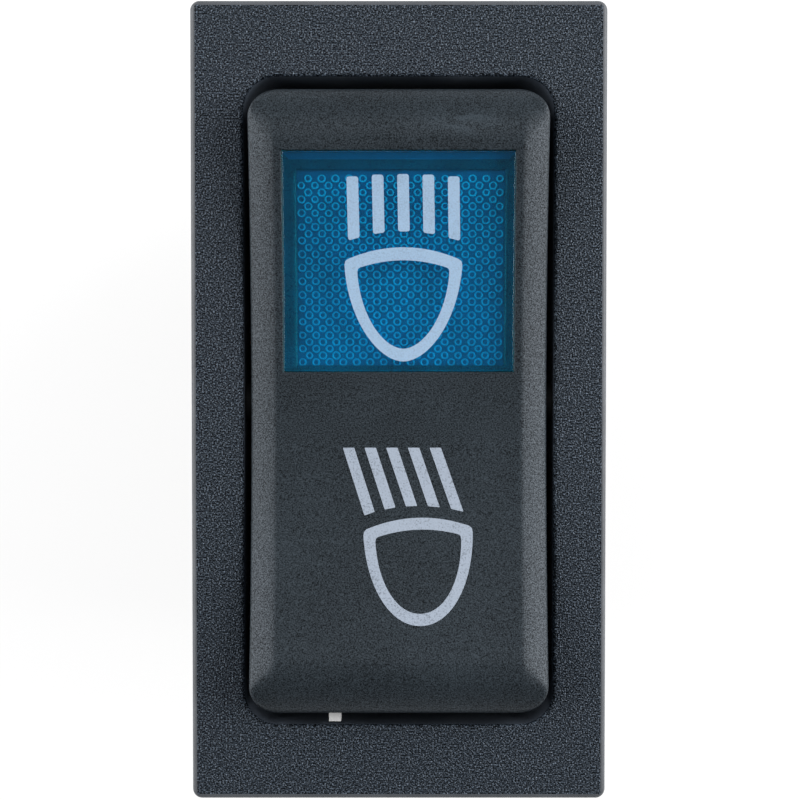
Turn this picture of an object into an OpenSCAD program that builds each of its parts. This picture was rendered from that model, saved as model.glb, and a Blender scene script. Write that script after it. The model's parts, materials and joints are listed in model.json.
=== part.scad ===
// Snap-in panel rocker switch with a lit window in the upper half of its rocker.
// Origin at the middle of the bezel's back face, where the panel lies. +Z points out of the panel at the user,
// +Y to the end with the window. Lengths are in millimetres and angles in degrees.

/* [Rocker] */
// Width of the rocker cap
rocker_w = 18.5; // [17.5:0.1:22]
// Length of the rocker cap
rocker_l = 38.7; // [37.5:0.1:46]
// Corner radius of the rocker cap in plan
rocker_corner_r = 1.9; // [1.8:0.1:3]
// Height of the rocker's middle in front of the bezel
rocker_rise = 0.8; // [0.5:0.1:2]
// Depth of the hollow along the rocker's face
rocker_dish = 2.5; // [1.4:0.1:3]
// Wall of the rocker cap's skirt
cap_wall = 1.2; // [1:0.1:1.4]
// Thickness of the rocker cap's face
cap_face_t = 1.6; // [1.2:0.1:1.7]
// Depth of the skirt's lower edge under the pivot
skirt_drop = 3.1; // [2.8:0.1:3.6]
// Width of the bevel along the cap's sides
bevel_w = 1.65; // [1.2:0.05:1.75]
// Drop of the bevel at the cap's side edges
bevel_h = 0.9; // [0.7:0.1:1.8]
// Radius of the bevel's crown
bevel_r = 7; // [2:0.1:9]
// Length of the roll at the cap's ends
roll_w = 3.6; // [2.6:0.1:3.8]
// Drop of the roll at the cap's end edges
roll_h = 2.1; // [1.4:0.1:2.3]
// Largest tilt of the rocker to either side
throw_deg = 7; // [4:0.5:7.5]

/* [Bezel and housing] */
// Gap between the rocker and the opening at its long sides
side_gap = 0.45; // [0.3:0.05:0.8]
// Gap between the rocker and the opening at its ends
end_gap = 0.95; // [0.7:0.05:1.4]
// Corner radius of the opening
opening_r = 2.1; // [1.5:0.1:3]
// Wall of the housing's long sides
side_wall = 1.1; // [0.8:0.1:1.6]
// Wall of the housing's ends
end_wall = 1.5; // [1:0.1:2]
// Corner radius of the housing behind the panel
housing_corner_r = 0.8; // [0.4:0.1:1.5]
// Reach of the bezel past the housing's long sides
flange_side = 2.2; // [1.6:0.1:4]
// Reach of the bezel past the housing's ends
flange_end = 3.2; // [2:0.1:5]
// Height of the bezel in front of the panel
bezel_h = 3.6; // [3.4:0.1:4.6]
// Corner radius of the bezel in plan
bezel_corner_r = 0.6; // [0.4:0.1:1.5]
// Rounding along the bezel's front edge
bezel_edge_r = 0.3; // [0.1:0.05:0.4]
// Depth of the housing behind the panel
housing_depth = 26; // [24:0.5:34]
// Depth of the pivot under the bezel's front
pivot_depth = 2; // [1.8:0.1:2.1]
// Radius of the pivot pins
pivot_r = 1.2; // [0.9:0.05:1.3]
// Running play around the pivot pins
pivot_play = 0.05; // [0.03:0.01:0.1]
// Depth of the pivot sockets in the bezel
pivot_socket = 1.5; // [1:0.1:1.8]
// Play at the end of a pivot pin
pin_end_play = 0.2; // [0.1:0.05:0.4]

/* [Latches and ribs] */
// Width of a panel latch
latch_w = 7; // [5:0.5:10]
// Width of the slits around a latch
latch_slit = 0.8; // [0.6:0.1:1]
// Depth of a latch's root behind the panel
latch_root = 17; // [15:0.5:19]
// Depth of a latch's free end behind the panel
latch_tip = 2.6; // [2.4:0.1:3]
// Depth of a latch's crest behind the panel
latch_crest = 4.4; // [4:0.1:5]
// Depth where a latch's ramp starts
latch_ramp = 12; // [9:0.5:14]
// Height of a latch's crest over the housing's end
latch_height = 1.1; // [0.6:0.1:1.4]
// Width of the fitting ribs on the long sides
rib_w = 1.2; // [0.8:0.1:2]
// Height of the fitting ribs
rib_h = 0.15; // [0.1:0.05:0.2]
// Depth where the fitting ribs start behind the panel
rib_start = 2.2; // [2.1:0.1:3]
// Length of the fitting ribs
rib_l = 18; // [10:0.5:20]
// Distance of the fitting ribs from the middle
rib_y = 15; // [12:0.5:17]

/* [Window] */
// Rim of the cap beside the window
window_side = 2.1; // [2:0.05:3]
// Rim of the cap between the window and the cap's upper end
window_end = 3.95; // [3.6:0.05:5]
// Distance of the window's lower edge from the pivot
window_start = 1.9; // [1.6:0.05:3]
// Thickness of the lens
lens_t = 2.5; // [2.3:0.1:2.8]
// Reach of the lens flange under the cap's face
lens_flange = 0.6; // [0.3:0.1:0.7]
// Play between the lens and the cap
lens_play = 0.05; // [0.02:0.01:0.1]

/* [Rocker cradle] */
// Play between the cradle and the cap
cradle_play = 0.1; // [0.05:0.05:0.2]
// Thickness of the cradle's plate
cradle_t = 1.4; // [1.2:0.1:1.6]
// Step from the window's edge in to the light tunnel
tunnel_step = 0.9; // [0.8:0.05:2]
// Wall of the light tunnel
tunnel_wall = 0.8; // [0.5:0.1:0.9]
// Width of a catch nose
catch_w = 0.75; // [0.6:0.05:1.5]
// Height of a catch nose
catch_h = 1; // [0.8:0.1:1.2]
// Distance of a catch nose from the middle
catch_x = 4; // [3:0.1:5]
// Height of a catch nose's middle over the pivot
catch_rise = 1.8; // [1.4:0.1:1.9]
// Gap between the lower catch nose and the opening's end
catch_clear = 0.3; // [0.25:0.05:0.6]
// Width of the post that carries a catch nose
catch_post_w = 3; // [2:0.1:5]
// Thickness of the post that carries a catch nose
catch_post_t = 1; // [0.8:0.1:1.1]
// Play around a catch nose in the cap
catch_play = 0.05; // [0.02:0.01:0.1]

/* [Plungers] */
// Radius of the plunger's shaft
plunger_r = 1.95; // [1.7:0.05:2.1]
// Running play around the plunger
plunger_play = 0.05; // [0.03:0.01:0.1]
// Radius of the plunger's round nose
nose_r = 1; // [0.8:0.05:1.3]
// Length of the plunger's taper
taper_l = 2; // [1.5:0.1:2.5]
// Wall of the plunger's guide tube
tube_wall = 1; // [0.8:0.1:1.1]
// Length of the guide tube under the cradle's plate
tube_l = 8; // [7:0.1:9]
// Room for the spring behind the plunger
spring_l = 5; // [4.5:0.1:5.5]
// Play at each end of the spring
spring_play = 0.05; // [0.02:0.01:0.1]
// Thickness of the spring's wire
spring_wire = 0.4; // [0.3:0.05:0.5]
// Mean radius of the spring's coils
spring_r = 1.5; // [1.45:0.01:1.55]
// Coils of the spring
spring_turns = 6; // [4:1:8]
// Radius of the spigot that centres the spring
spigot_r = 1; // [0.6:0.05:1.1]
// Length of the spigot
spigot_l = 1.2; // [0.6:0.1:1.6]
// Depth of the plunger's guide bore in the cradle's plate
bore_in_plate = 0.5; // [0.2:0.1:0.7]

/* [Contacts] */
// Depth of the contact rockers' pivot behind the panel
contact_depth = 16; // [15.5:0.1:16.6]
// Radius of the contact rocker's pivot lugs
lug_r = 0.6; // [0.5:0.05:0.7]
// Running play around the lugs
lug_play = 0.05; // [0.03:0.01:0.1]
// Width of a contact rocker
strip_w = 4.5; // [3.6:0.1:4.6]
// Thickness of a contact rocker
strip_t = 1; // [0.8:0.1:1.2]
// Height of a contact rocker's underside over its pivot
strip_lift = 0.2; // [0.1:0.05:0.3]
// Reach of a contact rocker to each side
strip_reach = 11; // [10.8:0.1:11.4]
// Depth of the resting notch in a contact rocker
notch_depth = 0.25; // [0.1:0.05:0.25]
// Half width of the resting notch
notch_reach = 1.9; // [1.7:0.1:2.2]
// Clearance between the plunger's nose and the notch
nose_clear = 0.15; // [0.1:0.01:0.3]
// Distance of the contacts from the pivot
contact_y = 9; // [8.6:0.1:9.2]
// Radius of a contact's head
contact_r = 1.5; // [1.1:0.05:1.6]
// Height of a contact's head
contact_h = 0.6; // [0.4:0.05:0.8]
// Radius of a contact's shank
shank_r = 0.7; // [0.5:0.05:0.9]
// Radius of a contact's riveted tail
tail_r = 1; // [0.95:0.05:1.2]
// Height of a contact's riveted tail
tail_h = 0.35; // [0.2:0.05:0.5]
// Play around a contact's shank
shank_play = 0.03; // [0.01:0.01:0.05]
// Clearance between closed contacts
contact_clear = 0.1; // [0.05:0.01:0.3]

/* [Terminals] */
// Width of a terminal blade
blade_w = 6.3; // [5:0.1:6.3]
// Thickness of a terminal blade
blade_t = 0.8; // [0.6:0.1:0.9]
// Length of a terminal blade behind the base
blade_l = 9; // [7:0.5:14]
// Chamfer at a blade's tip
blade_tip = 1.2; // [0.6:0.1:1.6]
// Radius of the locking hole in a blade
blade_hole_r = 0.8; // [0.5:0.05:1]
// Distance of the locking hole from the blade's tip
blade_hole_up = 4; // [3:0.1:5]
// Distance of the throw terminals from the middle
throw_y = 12.6; // [12.2:0.1:13.2]
// Distance of the lamp terminals from the opening's ends
lamp_blade_inset = 3.1; // [2.5:0.1:3.4]
// Width of the lamp straps
strap_w = 2; // [1.4:0.1:2.4]
// Clearance between the lamp strap and the yokes
strap_gap = 0.75; // [0.5:0.05:1]
// Half length of a common terminal's yoke
yoke_y = 2; // [1.4:0.1:2.4]
// Height of a yoke's ears over the contact pivot
yoke_over = 0.7; // [0.3:0.05:0.8]
// Clearance between a yoke's ears and the contact rocker
yoke_gap = 0.2; // [0.15:0.05:0.4]
// Reach of a terminal's shoulders past the blade
shoulder = 0.5; // [0.3:0.1:0.8]
// Height of a terminal's shoulders
shoulder_h = 1; // [0.6:0.1:1.4]

/* [Base] */
// Thickness of the terminal base
base_t = 4; // [3:0.1:4.2]
// Play between the base and the housing
base_play = 0.15; // [0.05:0.05:0.3]
// Play around a blade in the base
slot_play = 0.05; // [0.02:0.01:0.1]
// Width of the snaps that hold the base
snap_w = 4; // [2:0.1:6]
// Height of the snaps
snap_h = 1.4; // [1:0.1:1.8]
// Reach of the snaps
snap_reach = 0.8; // [0.5:0.1:0.8]
// Distance of the snaps from the middle
snap_y = 10; // [8:0.5:12]
// Play around the snaps
snap_play = 0.1; // [0.05:0.05:0.2]

/* [Lamp] */
// Width of the lamp socket
socket_w = 4.8; // [4.2:0.1:4.9]
// Length of the lamp socket
socket_l = 6; // [5:0.1:6]
// Height of the lamp socket over the base
socket_h = 8; // [6:0.1:9]
// Radius of the lamp's glass
bulb_r = 2; // [1.6:0.05:2.2]
// Length of the lamp's glass over the socket
bulb_l = 11; // [9:0.1:11.5]
// Radius of the lamp's foot
foot_r = 1.5; // [1.2:0.05:1.7]
// Length of the lamp's foot in the socket
foot_l = 4; // [3:0.1:5]
// Play around the lamp's foot
foot_play = 0.05; // [0.02:0.01:0.1]

/* [Hidden] */

$fn = 64;
LEFT = -1;
RIGHT = 1;
UPPER = 1;
LOWER = -1;
SIDES = [LEFT, RIGHT];
ENDS = [LOWER, UPPER];

// Overrun of a cut past the face that it opens
over = 1;
// Overlap that joins two shapes of one piece
join = 0.3;
// Least corner radius that an outline keeps
least_r = 0.1;
// Facets round the spring's wire, and along one coil
wire_sides = 8;
coil_steps = 16;
// Steps of the cap's loft across the bevel, round a corner and along a side
bevel_steps = 8;
corner_steps = 8;
side_steps = 20;
// Facets round the dish
dish_fn = 360;

opening_w = rocker_w + 2 * side_gap;
opening_l = rocker_l + 2 * end_gap;
housing_w = opening_w + 2 * side_wall;
housing_l = opening_l + 2 * end_wall;
bezel_w = housing_w + 2 * flange_side;
bezel_l = housing_l + 2 * flange_end;
pivot_z = bezel_h - pivot_depth;
skirt_z = pivot_z - skirt_drop;

// The dish is a cylinder across the rocker, with its axis far in front of the face
face_z = bezel_h + rocker_rise;
dish_r = (pow(rocker_l / 2, 2) + pow(rocker_dish, 2)) / (2 * rocker_dish);
dish_z = face_z + dish_r;

window_w = rocker_w - 2 * window_side;
window_l = rocker_l / 2 - window_end - window_start;
window_y = window_start + window_l / 2;
tunnel_w = window_w - 2 * tunnel_step;
tunnel_l = window_l - 2 * tunnel_step;

cradle_w = rocker_w - 2 * cap_wall - 2 * cradle_play;
cradle_l = rocker_l - 2 * cap_wall - 2 * cradle_play;
plate_z = skirt_z + cradle_t;
catch_z = pivot_z + catch_rise;
under_skirt = skirt_z - over;

yoke_x = strip_w / 2 + yoke_gap + blade_t;
pole_x = strap_w / 2 + strap_gap + yoke_x;
tube_r = plunger_r + plunger_play + tube_wall;
tube_z = skirt_z - tube_l;
coil_rise = (spring_l - 2 * spring_play - spring_wire) / spring_turns;
bore_top = skirt_z + bore_in_plate;
plunger_top = bore_top - spring_l;

contact_z = -contact_depth;
strip_top = contact_z + strip_lift + strip_t;
nose_z = strip_top - notch_depth + nose_clear;
head_drop = contact_h - strip_lift;
closed_drop = (contact_y + contact_r) * sin(throw_deg) + head_drop * cos(throw_deg);
fixed_top = contact_z - closed_drop - contact_clear;
tab_top = fixed_top - contact_h;

base_z = -housing_depth;
base_top = base_z + base_t;
snap_z = base_z + base_t / 2;
tip_z = base_z - blade_l;
shaft_w = strip_w;
lamp_blade_y = opening_l / 2 - lamp_blade_inset;
socket_top = base_top + socket_h;

// Middle of the circle of radius r through points p and q, on the right of the way from p to q
function arc_centre(p, q, r) =
    let (chord = q - p, half = norm(chord) / 2, side = [chord[1], -chord[0]] / norm(chord))
    (p + q) / 2 + side * sqrt(r * r - half * half);

// Height of the dished face at a distance y from the pivot
function dish_height(y) = dish_z - sqrt(dish_r * dish_r - y * y);

// Point at a height over the dished face
function on_dish(x, y, rise) = [x, y, dish_height(y) + rise];

module rounded_rect(w, l, r) {
    square([w - 2 * r, l], center = true);
    square([w, l - 2 * r], center = true);
    for (x = SIDES, y = ENDS)
        translate([x * (w / 2 - r), y * (l / 2 - r)]) circle(r);
}

module rounded_block(w, l, r, z0, z1) {
    translate([0, 0, z0]) linear_extrude(z1 - z0) rounded_rect(w, l, r);
}

module block(w, l, z0, z1) {
    translate([-w / 2, -l / 2, z0]) cube([w, l, z1 - z0]);
}

// A rod along X, from x0 to x1
module rod_x(r, x0, x1) {
    translate([x0, 0, 0]) rotate([0, 90, 0]) cylinder(r = r, h = x1 - x0);
}

// An outline in the YZ plane, extruded along X about the middle
module extrude_x(w) {
    translate([-w / 2, 0, 0]) rotate([90, 0, 90]) linear_extrude(w) children();
}

// An outline in the XZ plane, extruded along Y about the middle
module extrude_y(l) {
    translate([0, l / 2, 0]) rotate([90, 0, 0]) linear_extrude(l) children();
}

// The front outline of a slab whose two upper corners are rounded
module crowned_outline(w, h, r) {
    translate([-w / 2, 0]) square([w, h - r]);
    translate([-w / 2 + r, 0]) square([w - 2 * r, h]);
    for (x = SIDES)
        translate([x * (w / 2 - r), h - r]) circle(r);
}

// Everything in front of a surface that lies a depth under the dished face
module above_dish(depth) {
    translate([0, 0, dish_z]) rod_x(dish_r + depth, -bezel_w, bezel_w, $fn = dish_fn);
}

// Distance out from the cap's edge and height over its face, along the bevel's crown from edge to face
function bevel_point(t) =
    let (
        edge = [0, -bevel_h],
        face = [-bevel_w, 0],
        c = arc_centre(face, edge, bevel_r),
        a0 = atan2(edge[1] - c[1], edge[0] - c[0]),
        a1 = atan2(face[1] - c[1], face[0] - c[0]),
        a = a0 + (a1 - a0) * t
    )
    c + bevel_r * [cos(a), sin(a)];

// Distance out from the cap's edge and height over its face, along the roll at an end from edge to face
function roll_point(t) = [-roll_w * t, -roll_h * pow(1 - t, 2)];

// Right half of a ring round the cap, from its lower end to its upper end: t runs from the edge to the face, by the
// bevel at the sides and by the roll at the ends, and a corner blends the two
function half_ring(t) =
    let (
        side = bevel_point(t),
        end = roll_point(t),
        r = max(rocker_corner_r + side[0], least_r),
        x = rocker_w / 2 + side[0] - r,
        y = rocker_l / 2 + end[0] - r,
        corner = [
            for (i = [0:corner_steps])
                let (a = 90 * i / corner_steps, c = cos(a), s = sin(a))
                [x + r * c, y + r * s, side[1] * c * c + end[1] * s * s]
        ],
        upper = [for (p = corner) on_dish(p[0], p[1], p[2])],
        lower = [for (i = [corner_steps:-1:0]) let (p = corner[i]) on_dish(p[0], -p[1], p[2])],
        straight = [for (i = [1:side_steps - 1]) on_dish(x + r, y * (2 * i / side_steps - 1), side[1])]
    )
    concat(lower, straight, upper);

// The whole ring, anticlockwise from in front
function ring(t) =
    let (right = half_ring(t), last = len(right) - 1)
    concat(right, [for (i = [last:-1:0]) let (p = right[i]) [-p[0], p[1], p[2]]]);

// A solid lofted from the skirt's edge up the bevel and closed by strips across the dished face
module cap_body() {
    half = len(half_ring(0));
    n = 2 * half;
    skirt = [for (p = ring(0)) [p[0], p[1], skirt_z]];
    crown = [for (k = [0:bevel_steps]) each ring(k / bevel_steps)];
    floor_face = [for (i = [0:n - 1]) i];
    walls = [
        for (k = [0:bevel_steps], i = [0:n - 1])
            let (a = k * n + i, b = k * n + (i + 1) % n)
            each [[a, a + n, b + n], [a, b + n, b]]
    ];
    top = (bevel_steps + 1) * n;
    strips = [
        for (i = [0:half - 2])
            [top + i, top + n - 1 - i, top + n - 2 - i, top + i + 1]
    ];
    polyhedron(concat(skirt, crown), concat([floor_face], walls, strips));
}

module pivot_pins() {
    pin_x = rocker_w / 2 - cap_wall / 2;
    pin_l = opening_w / 2 + pivot_socket - pin_end_play - pin_x;
    for (side = SIDES)
        mirror([side == LEFT ? 1 : 0, 0, 0])
            translate([0, 0, pivot_z]) rod_x(pivot_r, pin_x, pin_x + pin_l);
}

module cap_hollow() {
    inner_r = max(rocker_corner_r - cap_wall, least_r);
    difference() {
        rounded_block(rocker_w - 2 * cap_wall, rocker_l - 2 * cap_wall, inner_r, under_skirt, dish_z);
        above_dish(cap_face_t);
    }
}

// A catch nose, which reaches from the cradle's post to a distance from the middle
module catch_nose(end, reach, play) {
    post_y = cradle_l / 2 - join;
    mirror([0, end == LOWER ? 1 : 0, 0])
        translate([end * catch_x - catch_w / 2 - play, post_y, catch_z - catch_h / 2 - play])
            cube([catch_w + 2 * play, reach - post_y, catch_h + 2 * play]);
}

module rocker_cap() {
    color("#33383c")
        union() {
            difference() {
                cap_body();
                cap_hollow();
                translate([0, window_y, 0])
                    block(window_w, window_l, pivot_z, dish_z);
                for (end = ENDS)
                    catch_nose(end, rocker_l, catch_play);
            }
            pivot_pins();
        }
}

module window_lens() {
    color("#0b5a86", 0.8)
        difference() {
            translate([0, window_y, 0]) union() {
                block(window_w - 2 * lens_play, window_l - 2 * lens_play, skirt_z, dish_z);
                difference() {
                    block(window_w + 2 * lens_flange, window_l + 2 * lens_flange, skirt_z, dish_z);
                    translate([0, -window_y, 0]) above_dish(cap_face_t + lens_play);
                }
            }
            above_dish(0);
            difference() {
                block(2 * bezel_w, 2 * bezel_l, under_skirt, face_z + bezel_h);
                above_dish(lens_t);
            }
        }
}

module light_tunnel() {
    difference() {
        translate([0, window_y, 0])
            block(tunnel_w + 2 * tunnel_wall, tunnel_l + 2 * tunnel_wall, skirt_z, dish_z);
        above_dish(lens_t + cradle_play);
    }
}

module catch_posts() {
    for (end = ENDS)
        mirror([0, end == LOWER ? 1 : 0, 0])
            translate([end * catch_x - catch_post_w / 2, cradle_l / 2 - catch_post_t, skirt_z])
                cube([catch_post_w, catch_post_t, catch_z + catch_h / 2 - skirt_z]);
    catch_nose(LOWER, opening_l / 2 - catch_clear, 0);
    catch_nose(UPPER, rocker_l / 2 - catch_play, 0);
}

module rocker_cradle() {
    corner_r = max(rocker_corner_r - cap_wall - cradle_play, least_r);
    color("#f2f2ee")
        difference() {
            union() {
                difference() {
                    union() {
                        rounded_block(cradle_w, cradle_l, corner_r, skirt_z, plate_z);
                        light_tunnel();
                    }
                    translate([0, window_y, 0])
                        block(tunnel_w, tunnel_l, under_skirt, dish_z);
                }
                catch_posts();
                for (side = SIDES)
                    translate([side * pole_x, 0, tube_z])
                        cylinder(r = tube_r, h = skirt_z - tube_z + join);
            }
            for (side = SIDES)
                translate([side * pole_x, 0, tube_z - over])
                    cylinder(r = plunger_r + plunger_play, h = bore_top - tube_z + over);
        }
}

module plunger(side) {
    shaft_z = nose_z + nose_r + taper_l;
    color("#e9e6da")
        translate([side * pole_x, 0, 0]) {
            translate([0, 0, nose_z + nose_r]) sphere(nose_r);
            translate([0, 0, nose_z + nose_r]) cylinder(r1 = nose_r, r2 = plunger_r, h = taper_l);
            translate([0, 0, shaft_z]) cylinder(r = plunger_r, h = plunger_top - shaft_z);
            translate([0, 0, plunger_top - join]) cylinder(r = spigot_r, h = spigot_l + join);
        }
}

// Point on the spring's wire: a turn of the coil, and an angle round the wire
function wire_point(turn, angle) =
    let (r = spring_r + spring_wire / 2 * cos(angle))
    [
        r * cos(360 * turn),
        r * sin(360 * turn),
        spring_play + spring_wire / 2 * (1 + sin(angle)) + coil_rise * turn
    ];

module spring(side) {
    rings = spring_turns * coil_steps;
    points = [
        for (i = [0:rings], k = [0:wire_sides - 1])
            wire_point(i / coil_steps, -360 * k / wire_sides)
    ];
    walls = [
        for (i = [0:rings - 1], k = [0:wire_sides - 1])
            let (a = i * wire_sides + k, b = i * wire_sides + (k + 1) % wire_sides)
            each [[a, b, b + wire_sides], [a, b + wire_sides, a + wire_sides]]
    ];
    first = [for (k = [0:wire_sides - 1]) wire_sides - 1 - k];
    last = [for (k = [0:wire_sides - 1]) rings * wire_sides + k];
    color("silver")
        translate([side * pole_x, 0, plunger_top])
            polyhedron(points, concat(walls, [first, last]));
}

module contact_rocker(side) {
    y = strip_reach;
    top = strip_top - contact_z;
    color("#c0703c")
        translate([side * pole_x, 0, contact_z])
            difference() {
                union() {
                    extrude_x(strip_w)
                        polygon([
                            [-y, strip_lift], [y, strip_lift], [y, top], [notch_reach, top],
                            [0, top - notch_depth], [-notch_reach, top], [-y, top]
                        ]);
                    rod_x(lug_r, -yoke_x, yoke_x);
                }
                for (end = ENDS)
                    translate([0, end * contact_y, -over])
                        cylinder(r = shank_r + shank_play, h = top + 2 * over);
            }
}

// A contact rivet with its head's inner face at z = 0, set in a plate of thickness t under it
module contact_rivet(t) {
    cylinder(r = contact_r, h = contact_h);
    translate([0, 0, -t - tail_h]) cylinder(r = shank_r, h = t + tail_h + join);
    translate([0, 0, -t - tail_h]) cylinder(r = tail_r, h = tail_h);
}

module moving_contacts(side) {
    color("gainsboro")
        for (end = ENDS)
            translate([side * pole_x, end * contact_y, contact_z + strip_lift])
                mirror([0, 0, 1]) contact_rivet(strip_t);
}

module fixed_contacts() {
    color("gainsboro")
        for (side = SIDES, end = ENDS)
            translate([side * pole_x, end * contact_y, tab_top])
                contact_rivet(blade_t);
}

// A blade through the base, across X, with shoulders that seat on the base
module blade() {
    half = blade_w / 2;
    difference() {
        extrude_y(blade_t)
            polygon([
                [-half, base_top + join], [-half, tip_z + blade_tip], [-half + blade_tip, tip_z],
                [half - blade_tip, tip_z], [half, tip_z + blade_tip], [half, base_top + join]
            ]);
        translate([0, 0, tip_z + blade_hole_up])
            rotate([90, 0, 0]) cylinder(r = blade_hole_r, h = 2 * over + blade_t, center = true);
    }
    block(blade_w + 2 * shoulder, blade_t, base_top, base_top + shoulder_h);
}

module common_terminal(side) {
    color("#c9b26a")
        translate([side * pole_x, 0, 0]) {
            blade();
            difference() {
                union() {
                    block(2 * yoke_x, 2 * yoke_y, base_top, base_top + blade_t);
                    for (x = SIDES)
                        translate([x * (yoke_x - blade_t / 2), 0, 0])
                            block(blade_t, 2 * yoke_y, base_top, contact_z + yoke_over);
                }
                translate([0, 0, contact_z])
                    rod_x(lug_r + lug_play, -blade_w, blade_w);
                block(2 * blade_w, 2 * (lug_r + lug_play), contact_z, contact_z + yoke_over + over);
            }
        }
}

module throw_terminal(side, end) {
    tab_end = contact_y - contact_r;
    tab_l = throw_y + blade_t / 2 - tab_end;
    color("#c9b26a")
        difference() {
            translate([side * pole_x, end * throw_y, 0]) {
                blade();
                block(shaft_w, blade_t, base_top, tab_top);
                translate([0, end * (blade_t - tab_l) / 2, 0])
                    block(shaft_w, tab_l, tab_top - blade_t, tab_top);
            }
            translate([side * pole_x, end * contact_y, tab_top - blade_t - over])
                cylinder(r = shank_r + shank_play, h = blade_t + 2 * over);
        }
}

// A lamp blade with a strap along the base and a leaf that presses on the lamp socket
module lamp_terminal(end) {
    start_y = end * lamp_blade_y;
    stop_y = window_y + end * socket_l / 2;
    leaf_y = stop_y + end * blade_t / 2;
    strap_l = abs(start_y - stop_y);
    color("#c9b26a") {
        translate([0, start_y, 0]) blade();
        translate([0, (start_y + stop_y) / 2, 0])
            block(strap_w, strap_l, base_top, base_top + blade_t);
        translate([0, leaf_y, 0])
            block(strap_w, blade_t, base_top, socket_top - foot_l / 2);
    }
}

module lamp_socket() {
    color("#d8d4c6")
        difference() {
            translate([0, window_y, 0]) block(socket_w, socket_l, base_top, socket_top);
            translate([0, window_y, socket_top - foot_l - foot_play])
                cylinder(r = foot_r + foot_play, h = foot_l + over);
        }
}

module lamp_bulb() {
    color("#e6eef0", 0.5)
        translate([0, window_y, 0]) {
            translate([0, 0, socket_top - foot_l]) cylinder(r = foot_r, h = foot_l + join);
            translate([0, 0, socket_top]) cylinder(r = bulb_r, h = bulb_l - bulb_r);
            translate([0, 0, socket_top + bulb_l - bulb_r]) sphere(bulb_r);
        }
}

module blade_slot() {
    block(blade_w + 2 * slot_play, blade_t + 2 * slot_play, base_z - over, base_top + over);
}

module terminal_base() {
    color("#24272a")
        difference() {
            union() {
                rounded_block(opening_w - 2 * base_play, opening_l - 2 * base_play, opening_r, base_z, base_top);
                for (side = SIDES, end = ENDS)
                    translate([side * (opening_w / 2 - base_play + (snap_reach - join) / 2), end * snap_y, 0])
                        block(snap_reach + join, snap_w, snap_z - snap_h / 2, snap_z + snap_h / 2);
            }
            for (side = SIDES, y = [-throw_y, 0, throw_y])
                translate([side * pole_x, y, 0]) blade_slot();
            for (end = ENDS)
                translate([0, end * lamp_blade_y, 0]) blade_slot();
        }
}

module bezel() {
    intersection() {
        rounded_block(bezel_w, bezel_l, bezel_corner_r, 0, bezel_h);
        extrude_x(bezel_w + over) crowned_outline(bezel_l, bezel_h, bezel_edge_r);
        extrude_y(bezel_l + over) crowned_outline(bezel_w, bezel_h, bezel_edge_r);
    }
}

// Slits through an end wall that free a latch on three sides
module latch_slits() {
    wall_y = opening_l / 2 - over;
    depth = end_wall + 2 * over;
    for (x = SIDES)
        translate([x * (latch_w + latch_slit) / 2 - latch_slit / 2, wall_y, -latch_root])
            cube([latch_slit, depth, latch_root - latch_tip + latch_slit]);
    translate([-latch_w / 2, wall_y, -latch_tip])
        cube([latch_w, depth, latch_slit]);
}

module latch_barb() {
    y = housing_l / 2;
    extrude_x(latch_w)
        polygon([[y - join, -latch_tip], [y, -latch_tip], [y + latch_height, -latch_crest],
                 [y, -latch_ramp], [y - join, -latch_ramp]]);
}

module fitting_ribs() {
    for (side = SIDES, end = ENDS)
        translate([side * (housing_w + rib_h - join) / 2, end * rib_y, 0])
            block(rib_h + join, rib_w, -rib_start - rib_l, -rib_start);
}

module base_windows() {
    for (end = ENDS)
        translate([0, end * snap_y, 0])
            block(housing_w + 2 * over, snap_w + 2 * snap_play,
                snap_z - snap_h / 2 - snap_play, snap_z + snap_h / 2 + snap_play);
}

module bezel_housing() {
    socket_x = opening_w / 2 + pivot_socket;
    color("#3c444a")
        difference() {
            union() {
                bezel();
                rounded_block(housing_w, housing_l, housing_corner_r, base_z, join);
                fitting_ribs();
                for (end = ENDS)
                    mirror([0, end == LOWER ? 1 : 0, 0]) latch_barb();
            }
            rounded_block(opening_w, opening_l, opening_r, base_z - over, bezel_h + over);
            translate([0, 0, pivot_z]) rod_x(pivot_r + pivot_play, -socket_x, socket_x);
            for (end = ENDS)
                mirror([0, end == LOWER ? 1 : 0, 0]) latch_slits();
            base_windows();
        }
}

bezel_housing();
terminal_base();
rocker_cap();
rocker_cradle();
window_lens();
plunger(LEFT);  // plunger_left
plunger(RIGHT);  // plunger_right
spring(LEFT);  // spring_left
spring(RIGHT);  // spring_right
contact_rocker(LEFT);  // contact_rocker_left
contact_rocker(RIGHT);  // contact_rocker_right
moving_contacts(LEFT);  // moving_contacts_left
moving_contacts(RIGHT);  // moving_contacts_right
fixed_contacts();
common_terminal(LEFT);  // common_terminal_left
common_terminal(RIGHT);  // common_terminal_right
throw_terminal(LEFT, LOWER);  // main_beam_terminal_left
throw_terminal(RIGHT, LOWER);  // main_beam_terminal_right
throw_terminal(LEFT, UPPER);  // dipped_beam_terminal_left
throw_terminal(RIGHT, UPPER);  // dipped_beam_terminal_right
lamp_terminal(UPPER);  // lamp_terminal_upper
lamp_terminal(LOWER);  // lamp_terminal_lower
lamp_socket();
lamp_bulb();
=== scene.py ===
"""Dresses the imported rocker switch: mouldings, blue window, printed signs, springs, finishes and stage."""
import json
import math
import random

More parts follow.
